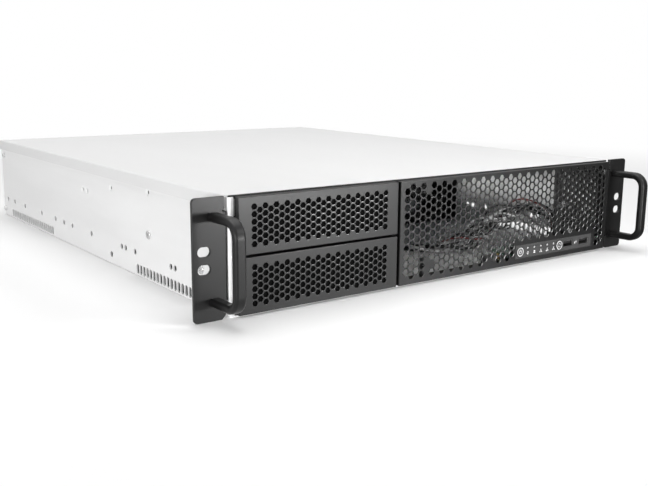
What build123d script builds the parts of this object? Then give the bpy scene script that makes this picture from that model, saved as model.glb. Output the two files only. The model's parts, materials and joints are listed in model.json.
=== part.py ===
from build123d import *
import math
import os

# Sizes in millimetres. X runs to the right, Y to the rear and Z up.
# While it is built, Y is 0 at the front of the rack ears and Z is 0 under the floor.

# Case envelope
panel_height = 88.1
case_width = 430.0
case_depth = 526.0
sheet = 1.2
bend = 1.5
# Clearance between fitted sheets, round screws and pins, and how far a cut reaches past a face
slip = 0.2
slack = 0.05
over = 1.0

# Folded tub
front_flange = 4.6
top_flange = 3.6
top_flange_gap = 1.0
vent_width = 4.6
vent_height = 8.8
vent_floor = 1.9
vent_pitch = 6.3
front_vents_from = 52.3
front_vents_count = 17
rear_vents_from = 362.4
rear_vents_count = 22
rail_hole_radius = 2.5
rail_hole_height = 20.3
rail_hole_places = [83.0, 90.3, 157.6, 177.0, 185.3, 254.8, 304.4, 327.7, 351.8, 394.2, 449.8, 486.4, 510.4]
tool_hole_radius = 1.5
tool_hole_dish = 3.2
tool_hole_places = [(129.0, 74.6), (205.2, 69.4), (261.4, 60.2), (271.6, 60.2)]
low_hole_radius = 2.8
low_hole_place = (208.6, 9.2)

# Front panels: two drive bay covers and the grille
panel_proud = 5.2
panel_sheet = 1.0
panel_edge = 0.7
panel_side_gap = 0.8
panel_rise = 1.7
panel_drop = 1.1
panel_gap = 2.6
cover_gap = 1.6
cover_hole = 4.4
cover_web = 0.95
cover_field_width = 126.0
cover_field_height = 32.0
grille_hole = 5.5
grille_web = 1.13
grille_field_width = 260.0
grille_field_height = 79.0
grille_field_rise = 1.0
grille_boss_clear = 4.6
cover_tab_length = 14.0
cover_tab_height = 14.0
filter_thickness = 2.5
filter_margin = 1.2

# Front frame behind the panels, and the perforated guard at its right end
frame_post = 10.0
frame_rail = 2.6
frame_margin = 9.0
frame_return = 12.0
mullion_place = 142.5
mullion_width = 8.0
guard_bar_height = 24.5
guard_hole = 3.0
guard_shift = 1.4
boss_radius = 2.5
boss_tab = 5.0
grille_bosses = [(-28.0, 79.5), (-26.0, 15.5), (48.0, 8.4)]
mullion_boss_heights = [73.1, 50.1]
bar_boss_place = 155.2
boss_end_inset = 10.0

# Drive cage for two 5.25 inch devices
device_width = 146.1
device_height = 41.3
device_side_slack = 0.7
device_height_slack = 0.2
cage_depth = 211.4
bay_side_step = 0.4
divider_step = 1.0
device_hole_radius = 1.7
device_hole_first = 47.4
device_hole_pitch = 79.2
device_hole_low = 10.0
device_hole_high = 21.84
cage_rivet_places = [(129.1, 39.8), (40.2, 28.1)]
cage_screw_inset = 40.0

# Rack ears and handles
ear_reach = 241.3
ear_sheet = 2.5
ear_corner = 3.0
ear_inner_edge = 216.2
ear_leg_depth = 20.0
ear_leg_margin = 13.4
ear_leg_top_margin = 10.8
ear_relief = 1.6
ear_chamfer = 3.0
rack_hole_span = 465.1
rack_hole_step = 12.7
rack_slot_length = 10.2
rack_slot_width = 7.2
handle_place = 224.5
handle_reach = 36.3
handle_height = 66.4
handle_wide = 9.2
handle_thick = 6.0
handle_round = 2.4
handle_bend = 10.8

# Control strip in the grille
fascia_left = 80.0
fascia_width = 108.4
fascia_height = 12.4
fascia_middle = 12.6
fascia_sheet = 1.2
fascia_recess = 0.4
fascia_lip = 2.0
fascia_clear_side = 3.5
fascia_clear_top = 12.0
button_radius = 4.4
button_proud = 0.8
button_collar = 1.0
button_collar_thick = 0.8
button_stem = 1.6
button_stem_length = 5.6
button_travel = 0.8
button_edge = 0.6
power_place = 5.8
reset_place = 60.1
switch_width = 6.4
switch_depth = 6.0
switch_gap = 1.0
switch_wall = 0.6
led_first = 16.8
led_pitch = 8.95
led_count = 5
led_rise = 2.4
led_radius = 1.0
led_body = 1.5
led_holder_depth = 4.0
usb_places = [73.0, 96.0]
usb_width = 13.1
usb_height = 5.7
usb_length = 14.0
usb_wall = 0.35
usb_corner = 0.6
usb_base = 3.0
usb_tongue_drop = 0.4
usb_tongue_width = 11.1
usb_tongue_thick = 1.85
usb_tongue_length = 9.5
pcb_thick = 1.6
pcb_depth = 31.0
pcb_front_gap = 0.4
pcb_end_gap = 1.0
pcb_screw_inset = 9.0
pcb_screw_depth = 24.0
pcb_bore_depth = 4.0

# Lead from the control strip to the board bay
lead_radius = 3.2
lead_points = [
    (167.0, 23.0, 18.0),
    (167.0, 23.0, 29.0),
    (160.0, 31.0, 40.0),
    (143.0, 39.0, 43.5),
    (122.0, 45.0, 35.5),
    (98.0, 51.0, 23.5),
    (73.0, 58.0, 12.0),
    (50.0, 74.0, 5.6),
    (36.5, 104.0, 4.6),
    (31.7, 160.0, 4.6),
    (32.3, 205.0, 4.6),
    (32.3, 252.0, 4.6),
]
lead_clip_places = [172.0, 196.0]
lead_clip_wall = 1.4
lead_clip_length = 6.0
lead_clip_foot = 4.0
lead_arc_share = 0.45
plug_width = 14.0
plug_depth = 6.0
plug_length = 12.0
plug_height = 8.2

# Fan wall with three fans
fan_wall_place = 214.0
fan_wall_rise = 2.0
fan_size = 80.0
fan_foot_gap = 1.2
fan_depth = 25.0
fan_count = 3
fan_pitch = 88.0
fan_hole_pitch = 71.5
fan_duct = 38.0
fan_tip_gap = 1.0
fan_hub = 17.0
fan_hub_wall = 1.6
fan_hub_face = 2.0
fan_hub_edge = 1.5
rotor_gap = 1.0
fan_stator = 16.0
fan_arm = 4.0
fan_arm_thick = 3.0
fan_shaft = 1.5
fan_shaft_reach = 1.5
fan_blade_count = 7
fan_blade_thick = 1.6
fan_blade_tilt = 40.0
fan_screw_hole = 2.2
fan_screw_bite = 6.0
fan_screw_head = 3.6
fan_corner = 4.0

# Rear panel and the board bay
rear_return = 14.0
rear_screws = [(11.0, 71.1), (4.6, 8.2)]
psu_width = 100.0
psu_height = 70.0
psu_rim = 6.0
psu_side_gap = 6.2
board_psu_gap = 4.0
io_width = 158.75
io_height = 44.45
io_bottom = 6.0
io_inset = 4.0
slot_count = 7
slot_pitch = 20.32
slot_first = 174.0
slot_window_width = 13.0
slot_window_bottom = 10.0
slot_window_height = 58.0
slot_cover_width = 18.4
slot_cover_thick = 0.9
slot_cover_bottom = 4.0
slot_cover_top = 78.0
slot_tab = 11.0
slot_rail_drop = 9.0
rear_vent_hole = 5.0
rear_vent_web = 1.6
rear_vent_height = 26.0
rear_vent_margin = 8.0
rear_vent_gap = 3.0
standoff_height = 6.35
standoff_flats = 5.5
standoff_bore = 1.3
board_hole_edge = 6.35
board_hole_setback = 12.3
board_columns = [0.0, 157.48, 281.94]
board_rows = [0.0, 154.94, 227.33]

# Lid
lid_flange = 10.3
lid_tongue_width = 20.0
lid_tongue_places = [-20.0, 75.0, 170.0]
lid_screw_places = [-150.0, 0.0, 150.0]
lid_screw_drop = 5.8
lid_tongue_setback = 3.0
lid_riser_gap = 1.0

# Screws and rivets
screw_bite = 2.0
short_bite = 1.0
screw_end_gap = 1.0
small_screw = 1.45
small_head = 2.8
small_head_height = 1.8
ear_screw = 1.95
ear_screw_head = 3.6
ear_screw_heights = [24.0, 45.5, 67.0]
ear_screw_place = 11.5
handle_screw_depth = 10.0
cage_screw_head = 2.6
rivet_radius = 1.6
rivet_head = 4.0
rivet_head_height = 1.2
rivet_dimple = 1.1

# Places that follow from the sizes
tub_half = case_width / 2 - sheet - slip
inner_half = tub_half - sheet
tub_top = panel_height - sheet - slip
panel_front = -panel_proud
panel_inner = panel_front + panel_sheet
panel_top = panel_height - panel_drop
panel_right = tub_half - front_flange - panel_side_gap
panel_left = -panel_right
frame_front = sheet
frame_back = frame_front + sheet
frame_half = inner_half - slip
frame_top = panel_height - slip
lid_front = frame_back + slip
bay_left = -(tub_half - front_flange) + bay_side_step
bay_width = device_width + 2 * device_side_slack
bay_right = bay_left + bay_width
divider = bay_right + divider_step
cover_right = divider - panel_gap / 2
grille_left = divider + panel_gap / 2
cage_front = frame_back + slip
cage_back = cage_front + cage_depth
cage_floor = 2 * sheet
bay_floor = cage_floor + slip
cage_top = bay_floor + 2 * device_height + device_height_slack
rear_inner = case_depth - sheet
fascia_right = fascia_left + fascia_width
fascia_front = panel_front + fascia_recess
fascia_back = panel_inner + fascia_sheet
collar_front = fascia_back + 2 * slack
collar_back = collar_front + button_collar_thick
pcb_front = collar_back + button_travel + pcb_front_gap
switch_front = collar_back + button_travel + switch_gap
pcb_top = fascia_middle - usb_height / 2
pcb_bottom = pcb_top - pcb_thick
fan_wall_left = bay_right + sheet + slip
fan_wall_right = inner_half - slip
fan_front = fan_wall_place + sheet
fan_height = sheet + fan_foot_gap + fan_size / 2
fan_middle = (fan_wall_left + fan_wall_right) / 2
fan_places = [fan_middle + (k - (fan_count - 1) / 2) * fan_pitch for k in range(fan_count)]
psu_right = frame_half - psu_side_gap
psu_left = psu_right - psu_width
psu_bottom = sheet + slip
board_edge = psu_left - board_psu_gap
io_right = board_edge - io_inset
slot_places = [board_edge - slot_first - k * slot_pitch for k in range(slot_count)]
cover_back = rear_inner - slot_cover_thick


def block(x0, x1, y0, y1, z0, z1):
    """A box between two corners."""
    return Pos((x0 + x1) / 2, (y0 + y1) / 2, (z0 + z1) / 2) * Box(x1 - x0, y1 - y0, z1 - z0)


def rod_x(y, z, x0, x1, radius):
    return Pos((x0 + x1) / 2, y, z) * Rot(0, 90, 0) * Cylinder(radius, x1 - x0)


def rod_y(x, z, y0, y1, radius):
    return Pos(x, (y0 + y1) / 2, z) * Rot(90, 0, 0) * Cylinder(radius, y1 - y0)


def rod_z(x, y, z0, z1, radius):
    return Pos(x, y, (z0 + z1) / 2) * Cylinder(radius, z1 - z0)


def both_sides(part):
    """The part and its mirror image across the middle of the case."""
    return part + mirror(part, Plane.YZ)


def group(pieces):
    """Separate solids that share one node."""
    return Compound([solid for piece in pieces for solid in piece.solids()])


def hexagon(x, z, flats):
    """Corners of an upright hexagon, flat at top and bottom, in the plane Y = 0."""
    radius = flats / math.sqrt(3)
    angles = [math.radians(60 * k) for k in range(6)]
    return [(x + radius * math.cos(a), 0, z + radius * math.sin(a)) for a in angles]


def hexagon_field(x0, x1, z0, z1, flats, web, outer_rows_longer):
    """Centres of a staggered field of hexagons that fits between the corners."""
    pitch = flats + web
    column_step = pitch * math.sqrt(3) / 2
    half_columns = int(((x1 - x0) / 2 - flats / math.sqrt(3)) / column_step)
    rows = int((z1 - z0 - flats) / pitch) + 1
    x_mid, z_mid = (x0 + x1) / 2, (z0 + z1) / 2
    centres = []
    for column in range(-half_columns, half_columns + 1):
        outer = (column + half_columns) % 2 == 0
        count = rows if outer == outer_rows_longer else rows - 1
        for row in range(count):
            centres.append((x_mid + column * column_step, z_mid + (row - (count - 1) / 2) * pitch))
    return centres


def pierced_plate(x0, x1, z0, z1, y0, thickness, centres, flats):
    """A flat sheet with hexagonal holes at the centres."""
    corners = [(x0, 0, z0), (x1, 0, z0), (x1, 0, z1), (x0, 0, z1)]
    outline = Wire.make_polygon([Vector(*c) for c in corners])
    holes = [Wire.make_polygon([Vector(*c) for c in hexagon(x, z, flats)]) for x, z in centres]
    plate = Solid.extrude(Face(outline, holes), Vector(0, thickness, 0))
    return Pos(0, y0, 0) * Part(plate.wrapped)


def folded_panel(x0, x1, z0, z1, field, centres, flats):
    """A front panel folded back on four sides, with a pierced field in its face."""
    outer = block(x0, x1, panel_front, 0, z0, z1)
    front_edges = outer.faces().sort_by(Axis.Y)[0].edges()
    corner_edges = outer.edges().filter_by(Axis.Y)
    outer = fillet(front_edges + corner_edges, panel_edge)
    hollow = block(x0 + panel_sheet, x1 - panel_sheet, panel_inner, over, z0 + panel_sheet, z1 - panel_sheet)
    fx0, fx1, fz0, fz1 = field
    window = block(fx0, fx1, panel_front - over, panel_inner + over, fz0, fz1)
    face = pierced_plate(fx0, fx1, fz0, fz1, panel_front, panel_sheet, centres, flats)
    return outer - hollow - window + face


def countersunk(length, radius, head, extra=0.0):
    """A countersunk screw along +Z from its flush face at Z = 0."""
    depth = head - radius
    cone = Pos(0, 0, depth / 2) * Cone(head + extra, radius + extra, depth)
    return cone + Pos(0, 0, length / 2) * Cylinder(radius + extra, length)


def pan_screw(length, radius, head, head_height):
    """A pan-head screw along +Z, its head below Z = 0."""
    cap = Pos(0, 0, -head_height / 2) * Cylinder(head, head_height)
    cap = fillet(cap.edges().group_by(Axis.Z)[0], head_height * 0.45)
    recess = Pos(0, 0, -head_height) * Box(head * 0.9, head * 0.28, head_height * 0.9)
    recess += Rot(0, 0, 90) * recess
    return cap - recess + Pos(0, 0, length / 2) * Cylinder(radius, length)


def chassis_tub():
    """Floor, sides, front flanges and narrow top flanges, folded from one sheet."""
    outer = block(-tub_half, tub_half, 0, case_depth, 0, tub_top)
    outer = fillet(outer.edges().filter_by(Axis.Y).group_by(Axis.Z)[0], bend)
    hollow = block(-inner_half, inner_half, -over, case_depth + over, sheet, tub_top + over)
    tub = outer - hollow
    front = block(tub_half - front_flange, tub_half, 0, sheet, sheet, tub_top)
    top_from = frame_back + frame_return
    top_to = case_depth - rear_return - top_flange_gap
    top = block(tub_half - top_flange, tub_half, top_from, top_to, tub_top - sheet, tub_top)
    tub += both_sides(front + top)
    tub -= side_openings()
    tub -= floor_holes()
    return tub


def side_openings():
    """Holes in the sides: slots, slide and screw holes run through both, the rest through one."""
    reach = tub_half + over
    vents = [front_vents_from + k * vent_pitch for k in range(front_vents_count)]
    vents += [rear_vents_from + k * vent_pitch for k in range(rear_vents_count)]
    middle = vent_floor + vent_height / 2
    outlines = [Plane.YZ * Pos(y, middle) * SlotOverall(vent_height, vent_width, rotation=90) for y in vents]
    outlines += [Plane.YZ * Pos(y, rail_hole_height) * Circle(rail_hole_radius) for y in rail_hole_places]
    outlines += [Plane.YZ * Pos(ear_screw_place, z) * Circle(ear_screw + slack) for z in ear_screw_heights]
    outlines += [Plane.YZ * Pos(y, z) * Circle(small_screw + slack) for y, z in rear_screw_places()]
    cuts = [extrude(outline, reach, both=True) for outline in outlines]
    cuts += [rod_x(y, z, -reach, -inner_half + over, rivet_radius + slack) for y, z in cage_rivet_places]
    y, z = low_hole_place
    cuts.append(rod_x(y, z, -reach, -inner_half + over, low_hole_radius))
    cuts += tool_holes()
    wall_y = wall_rivet_place()
    cuts += [rod_x(wall_y, z, inner_half - over, reach, rivet_radius + slack) for z in wall_rivet_heights()]
    return cuts


def tool_holes():
    """Dished holes through the left side."""
    flare = (tool_hole_dish - tool_hole_radius) / sheet
    depth = sheet + over
    cone = Rot(0, 90, 0) * Cone(tool_hole_dish + flare * over, tool_hole_radius, depth)
    cone += Pos(over, 0, 0) * Rot(0, 90, 0) * Cylinder(tool_hole_radius, depth)
    return [Pos(-inner_half - depth / 2, y, z) * cone for y, z in tool_hole_places]


def floor_holes():
    """Holes in the floor for the board standoffs and the countersunk cage screws."""
    cuts = [rod_z(x, y, -over, sheet + over, standoff_bore * 1.5 + slack) for x, y in board_holes()]
    sink = countersunk(sheet + over, small_screw, cage_screw_head, slack)
    cuts += [Pos(x, y, 0) * sink for x, y in cage_screw_places()]
    return cuts


def rear_screw_places():
    """Side screws that hold the rear panel: one high, one low at the corner."""
    return [(case_depth - setback, z) for setback, z in rear_screws]


def wall_rivet_place():
    return fan_wall_place - frame_return / 2


def wall_rivet_heights():
    return [fan_height - fan_size / 4, fan_height + fan_size / 4]


def cage_screw_places():
    columns = (bay_left + bay_width / 5, bay_right - bay_width / 5)
    rows = (cage_front + cage_screw_inset, cage_back - cage_screw_inset)
    return [(x, y) for x in columns for y in rows]


def board_holes():
    """Standoff places, counted from the rear corner at the input and output end."""
    x0 = board_edge - board_hole_edge
    y0 = rear_inner - board_hole_setback
    return [(x0 - column, y0 - row) for column in board_columns for row in board_rows]


def rear_panel():
    """Rear sheet with returns, the input and output window, card slots and supply window."""
    plate = block(-frame_half, frame_half, rear_inner, case_depth, sheet + slip, tub_top)
    side = block(frame_half - sheet, frame_half, case_depth - rear_return, rear_inner, sheet + slip, tub_top)
    top_reach = frame_half - sheet
    top = block(-top_reach, top_reach, case_depth - rear_return, rear_inner, tub_top - sheet, tub_top)
    panel = plate + both_sides(side) + top
    y0, y1 = rear_inner - over, case_depth + over
    panel -= block(io_right - io_width, io_right, y0, y1, io_bottom, io_bottom + io_height)
    psu_low, psu_high = psu_bottom + psu_rim, psu_bottom + psu_height - psu_rim
    panel -= block(psu_left + psu_rim, psu_right - psu_rim, y0, y1, psu_low, psu_high)
    half = slot_window_width / 2
    top_of_window = slot_window_bottom + slot_window_height
    panel -= [block(x - half, x + half, y0, y1, slot_window_bottom, top_of_window) for x in slot_places]
    panel -= [rod_y(x, z, y0, y1, ear_screw) for x, z in psu_screw_places()]
    lid_hole = panel_height - lid_screw_drop
    panel -= [rod_y(x, lid_hole, y0, y1, small_screw + slack) for x in lid_screw_places]
    panel -= [rod_x(y, z, -tub_half, tub_half, small_screw + slack) for y, z in rear_screw_places()]
    return pierce_rear_vent(panel)


def psu_screw_places():
    """Corners of the rim round the power supply window."""
    inset = psu_rim / 2
    columns = (psu_left + inset, psu_right - inset)
    rows = (psu_bottom + inset, psu_bottom + psu_height - inset)
    return [(x, z) for x in columns for z in rows]


def pierce_rear_vent(panel):
    """Sets a hexagonal vent into the rear panel above the input and output window."""
    x0, x1 = io_right - io_width + rear_vent_margin, io_right - rear_vent_margin
    z0 = io_bottom + io_height + rear_vent_gap
    z1 = z0 + rear_vent_height
    centres = hexagon_field(x0, x1, z0, z1, rear_vent_hole, rear_vent_web, True)
    panel -= block(x0, x1, rear_inner - over, case_depth + over, z0, z1)
    return panel + pierced_plate(x0, x1, z0, z1, rear_inner, sheet, centres, rear_vent_hole)


def slot_cover(x):
    """Blanking strip for one card slot, its top tab folded over the slot rail."""
    half = slot_cover_width / 2
    top = slot_cover_top + slot_cover_thick
    strip = block(x - half, x + half, cover_back, rear_inner, slot_cover_bottom, top)
    tab = block(x - half, x + half, cover_back - slot_tab, cover_back, slot_cover_top, top)
    hole = rod_z(x, slot_screw_place(), slot_cover_top - over, top + over, small_screw + slack)
    return strip + tab - hole


def slot_screw_place():
    return cover_back - slot_tab / 2


def slot_rail():
    """Folded rail that carries the tabs of the blanking strips."""
    x0 = slot_places[-1] - slot_pitch / 2 - sheet
    x1 = slot_places[0] + slot_pitch / 2 + sheet
    y0, y1 = cover_back - slot_tab - slip, cover_back - slip
    shelf = block(x0, x1, y0, y1, slot_cover_top - sheet, slot_cover_top)
    low = slot_cover_top - slot_rail_drop
    ends = [block(x, x + sheet, y0, rear_inner, low, slot_cover_top) for x in (x0, x1 - sheet)]
    bores = [rod_z(x, slot_screw_place(), 0, slot_cover_top + over, small_screw + slack) for x in slot_places]
    front = block(x0, x1, y0, y0 + sheet, low, slot_cover_top)
    return shelf + front + ends - bores


def slot_screws():
    top = slot_cover_top + slot_cover_thick
    length = slot_cover_thick + sheet + screw_bite
    screw = Rot(180, 0, 0) * pan_screw(length, small_screw, small_head, small_head_height)
    return group([Pos(x, slot_screw_place(), top) * screw for x in slot_places])


def board_standoff(x, y):
    """A hexagonal standoff with a tapped bore, its foot pressed into the floor."""
    top = sheet + standoff_height
    outline = RegularPolygon(standoff_flats / 2, 6, major_radius=False)
    nut = Pos(x, y, sheet) * extrude(outline, standoff_height)
    foot = rod_z(x, y, 0, sheet, standoff_bore * 1.5)
    return nut + foot - rod_z(x, y, sheet, top + over, standoff_bore)


def front_frame():
    """Upright sheet behind the panels, with windows for the bays, the grille and the guard."""
    y0, y1 = frame_front, frame_back
    frame = block(-frame_half, frame_half, y0, y1, sheet + slip, frame_top)
    low = sheet + slip + frame_rail
    high = tub_top - frame_rail
    cut0, cut1 = y0 - over, y1 + over
    bar = guard_bar_height - mullion_width / 2
    mullion = mullion_place - mullion_width / 2
    right = frame_half - frame_margin
    frame -= block(bay_left, bay_right, cut0, cut1, bay_floor, cage_top)
    frame -= block(bay_right + frame_post, mullion, cut0, cut1, low, high)
    frame -= block(mullion - over, right, cut0, cut1, low, bar)
    frame -= block(mullion + mullion_width, right, cut0, cut1, bar + mullion_width, high)
    frame += [boss_tab_plate(x, z, low, high) for x, z in grille_bosses]
    top = block(bay_left, frame_half - top_flange, y1, y1 + frame_return, tub_top - sheet, tub_top)
    foot = block(bay_right + 2 * sheet, right, y1, y1 + frame_return, sheet + slip, cage_floor + slip)
    frame += [top, foot]
    return frame - [rod_y(x, z, cut0, cut1, small_screw + slack) for x, z in boss_places()]


def boss_tab_plate(x, z, low, high):
    """A tab from the nearer rail of the frame to one boss."""
    z0, z1 = (z - boss_tab, high + over) if z > (low + high) / 2 else (low - over, z + boss_tab)
    return block(x - boss_tab, x + boss_tab, frame_front, frame_back, z0, z1)


def boss_places():
    """Every place where the grille is screwed to the frame."""
    places = list(grille_bosses)
    places += [(mullion_place, z) for z in mullion_boss_heights]
    places.append((bar_boss_place, guard_bar_height))
    edge = panel_right - panel_sheet - boss_radius - slip
    return places + [(edge, panel_rise + boss_end_inset), (edge, panel_top - boss_end_inset)]


def grille_standoff(x, z):
    """Spacer between the back of the grille and the frame."""
    spacer = rod_y(x, z, panel_inner, frame_front, boss_radius)
    return spacer - rod_y(x, z, 0, frame_front + over, small_screw)


def grille_screws():
    """Screws driven from behind the frame into the spacers."""
    grip = small_screw - slack
    screw = Rot(90, 0, 0) * pan_screw(sheet + short_bite, grip, small_head, small_head_height)
    guarded = [place for place in boss_places() if place[0] > mullion_place - 1]
    plain = [place for place in boss_places() if place[0] < mullion_place - 1]
    seats = [(x, z, frame_back) for x, z in plain] + [(x, z, frame_back + panel_sheet) for x, z in guarded]
    return group([Pos(x, seat, z) * screw for x, z, seat in seats])


def inner_guard():
    """Perforated sheet behind the right end of the grille."""
    x0, x1 = mullion_place - mullion_width / 2, frame_half
    z0, z1 = guard_bar_height - mullion_width / 2, tub_top - 2 * frame_rail
    fx0, fx1 = x0 + mullion_width + guard_shift, x1 - frame_margin + guard_shift
    web = grille_hole + grille_web - guard_hole
    centres = hexagon_field(fx0, fx1, z0 + mullion_width, z1, guard_hole, web, True)
    guard = pierced_plate(x0, x1, z0, z1, frame_back, panel_sheet, centres, guard_hole)
    y0, y1 = frame_back - over, frame_back + panel_sheet + over
    return guard - [rod_y(x, z, y0, y1, small_screw + slack) for x, z in boss_places()]


def bay_cover(z0, z1):
    """Pierced cover of one drive bay, with four spring tabs that slide into the cage."""
    x_mid, z_mid = (panel_left + cover_right) / 2, (z0 + z1) / 2
    half_x, half_z = cover_field_width / 2, cover_field_height / 2
    field = (x_mid - half_x, x_mid + half_x, z_mid - half_z, z_mid + half_z)
    centres = hexagon_field(*field, cover_hole, cover_web, True)
    cover = folded_panel(panel_left, cover_right, z0, z1, field, centres, cover_hole)
    for x in (panel_left, cover_right - panel_sheet):
        low, high = z_mid - cover_tab_height / 2, z_mid + cover_tab_height / 2
        cover += block(x, x + panel_sheet, -over, cover_tab_length, low, high)
    return cover


def dust_filter(z0, z1):
    """Thin foam sheet laid in the back of a bay cover."""
    edge = panel_sheet + filter_margin
    back = panel_inner + filter_thickness
    return block(panel_left + edge, cover_right - edge, panel_inner, back, z0 + edge, z1 - edge)


def grille_panel():
    """Large pierced panel with a window for the control strip."""
    x_mid = (grille_left + panel_right) / 2
    z_mid = (panel_rise + panel_top) / 2 + grille_field_rise
    half_x, half_z = grille_field_width / 2, grille_field_height / 2
    field = (x_mid - half_x, x_mid + half_x, z_mid - half_z, z_mid + half_z)
    centres = hexagon_field(*field, grille_hole, grille_web, False)
    centres = [place for place in centres if grille_hole_kept(*place)]
    panel = folded_panel(grille_left, panel_right, panel_rise, panel_top, field, centres, grille_hole)
    half = fascia_height / 2 + slip
    low, high = fascia_middle - half, fascia_middle + half
    x0, x1 = fascia_left - slip, fascia_right + slip
    return panel - block(x0, x1, panel_front - over, panel_inner + over, low, high)


def grille_hole_kept(x, z):
    """False beside a boss and round the control strip, where the sheet is left whole."""
    near_boss = any(math.hypot(x - bx, z - bz) < grille_boss_clear for bx, bz in grille_bosses)
    beside = fascia_left - fascia_clear_side < x < fascia_right + fascia_clear_side
    return not near_boss and not (beside and z < fascia_middle + fascia_clear_top)


def drive_cage():
    """Channel for two stacked drives, folded from one sheet."""
    outer = block(bay_left - sheet, bay_right + sheet, cage_front, cage_back, sheet, cage_top)
    y0, y1 = cage_front - over, cage_back + over
    cage = outer - block(bay_left, bay_right, y0, y1, cage_floor, cage_top + over)
    wall = bay_left - sheet
    cage += [rod_x(y, z, -inner_half, wall, rivet_radius * 3) for y, z in cage_rivet_places]
    bore = rivet_radius + slack
    cage -= [rod_x(y, z, -inner_half - over, bay_left + over, bore) for y, z in cage_rivet_places]
    x0, x1 = bay_left - sheet - over, bay_right + sheet + over
    cage -= [rod_x(y, z, x0, x1, device_hole_radius) for y, z in device_holes()]
    cage -= [rod_z(x, y, 0, cage_floor + over, small_screw + slack) for x, y in cage_screw_places()]
    heights = wall_rivet_heights()
    wall_y = wall_rivet_place()
    return cage - [rod_x(wall_y, z, bay_right - over, fan_wall_left, rivet_radius + slack) for z in heights]


def device_holes():
    """Side screw holes of both bays."""
    places = []
    for bay in range(2):
        floor = bay_floor + bay * (device_height + device_height_slack)
        for rise in (device_hole_low, device_hole_high):
            for step in (device_hole_first, device_hole_first + device_hole_pitch):
                places.append((frame_front + step, floor + rise))
    return places


def cage_screws():
    screw = countersunk(cage_floor, small_screw, cage_screw_head)
    return group([Pos(x, y, 0) * screw for x, y in cage_screw_places()])


def rack_ear():
    """Right rack ear: a front plate with two slots, and a leg on the side of the case."""
    plate = block(ear_inner_edge, ear_reach, 0, ear_sheet, 0, panel_height)
    outer_edges = plate.edges().filter_by(Axis.Y).group_by(Axis.X)[-1]
    plate = fillet(outer_edges, ear_corner)
    foot_edge = plate.edges().filter_by(Axis.Y).group_by(Axis.X)[0].sort_by(Axis.Z)[0]
    plate = chamfer(foot_edge, ear_chamfer)
    leg_low, leg_high = ear_leg_margin, panel_height - ear_leg_top_margin
    fold = block(tub_half, ear_inner_edge + over, 0, ear_sheet, leg_low, leg_high)
    leg = block(tub_half, tub_half + ear_sheet, 0, ear_leg_depth, leg_low, leg_high)
    angle = fold + leg
    corner = angle.edges().filter_by(Axis.Z).sort_by(lambda e: e.center().X + e.center().Y)[0]
    angle = fillet(corner, ear_sheet * 0.9)
    ear = plate + angle
    x0, x1 = ear_inner_edge - over, ear_inner_edge + ear_relief
    for z in (leg_low - ear_relief, leg_high):
        ear -= block(x0, x1, -over, ear_sheet + over, z, z + ear_relief)
    outline = SlotOverall(rack_slot_length, rack_slot_width)
    slots = [Pos(rack_hole_span / 2, z) * outline for z in rack_slot_heights()]
    ear -= [extrude(Plane.XZ * slot, ear_sheet + over, both=True) for slot in slots]
    ear -= [rod_y(handle_place, z, -over, ear_sheet + over, ear_screw + slack) for z in handle_leg_heights()]
    sink = countersunk(ear_sheet + over, ear_screw, ear_screw_head, slack)
    outside = tub_half + ear_sheet
    return ear - [Pos(outside, ear_screw_place, z) * Rot(0, -90, 0) * sink for z in ear_screw_heights]


def rack_slot_heights():
    middle = panel_height / 2
    return [middle - rack_hole_step / 2, middle + rack_hole_step / 2]


def handle_leg_heights():
    offset = (handle_height - handle_thick) / 2
    return [panel_height / 2 - offset, panel_height / 2 + offset]


def handle():
    """Bar bent to a U, with a tapped bore in each end."""
    low, high = handle_leg_heights()
    front = -handle_reach + handle_thick / 2
    profile = [(0, low), (front, low), (front, high), (0, high)]
    corners = [(handle_place, y, z) for y, z in profile]
    path = FilletPolyline(*corners, radius=handle_bend)
    end = Plane(origin=corners[0], x_dir=(1, 0, 0), z_dir=(0, -1, 0))
    bar = sweep(end * RectangleRounded(handle_wide, handle_thick, handle_round), path=path)
    return bar - [rod_y(handle_place, z, -handle_screw_depth, 1, ear_screw + slack) for z in (low, high)]


def handle_screws():
    length = ear_sheet + handle_screw_depth - screw_end_gap
    screw = Rot(90, 0, 0) * pan_screw(length, ear_screw, ear_screw_head, small_head_height)
    right = [Pos(handle_place, ear_sheet, z) * screw for z in handle_leg_heights()]
    return group(right + [mirror(piece, Plane.YZ) for piece in right])


def ear_screws():
    length = ear_sheet + sheet + screw_bite
    screw = Rot(0, -90, 0) * countersunk(length, ear_screw, ear_screw_head)
    right = [Pos(tub_half + ear_sheet, ear_screw_place, z) * screw for z in ear_screw_heights]
    return group(right + [mirror(piece, Plane.YZ) for piece in right])


def control_fascia():
    """Strip that carries the control openings, with a lip behind the grille."""
    low, high = fascia_middle - fascia_height / 2, fascia_middle + fascia_height / 2
    front = block(fascia_left, fascia_right, fascia_front, panel_inner, low, high)
    x0, x1 = fascia_left - fascia_lip, fascia_right + fascia_lip
    fascia = front + block(x0, x1, panel_inner, fascia_back, low - fascia_lip, high + fascia_lip)
    y0, y1 = fascia_front - over, fascia_back + over
    buttons = [fascia_left + place for place in (power_place, reset_place)]
    fascia -= [rod_y(x, fascia_middle, y0, y1, button_radius + slip) for x in buttons]
    fascia -= [rod_y(x, fascia_middle + led_rise, y0, y1, led_radius + slack) for x in led_places()]
    half_x, half_z = usb_width / 2 + slip, usb_height / 2 + slip
    for place in usb_places:
        x = fascia_left + place
        fascia -= block(x - half_x, x + half_x, y0, y1, fascia_middle - half_z, fascia_middle + half_z)
    return fascia


def led_places():
    return [fascia_left + led_first + k * led_pitch for k in range(led_count)]


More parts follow.
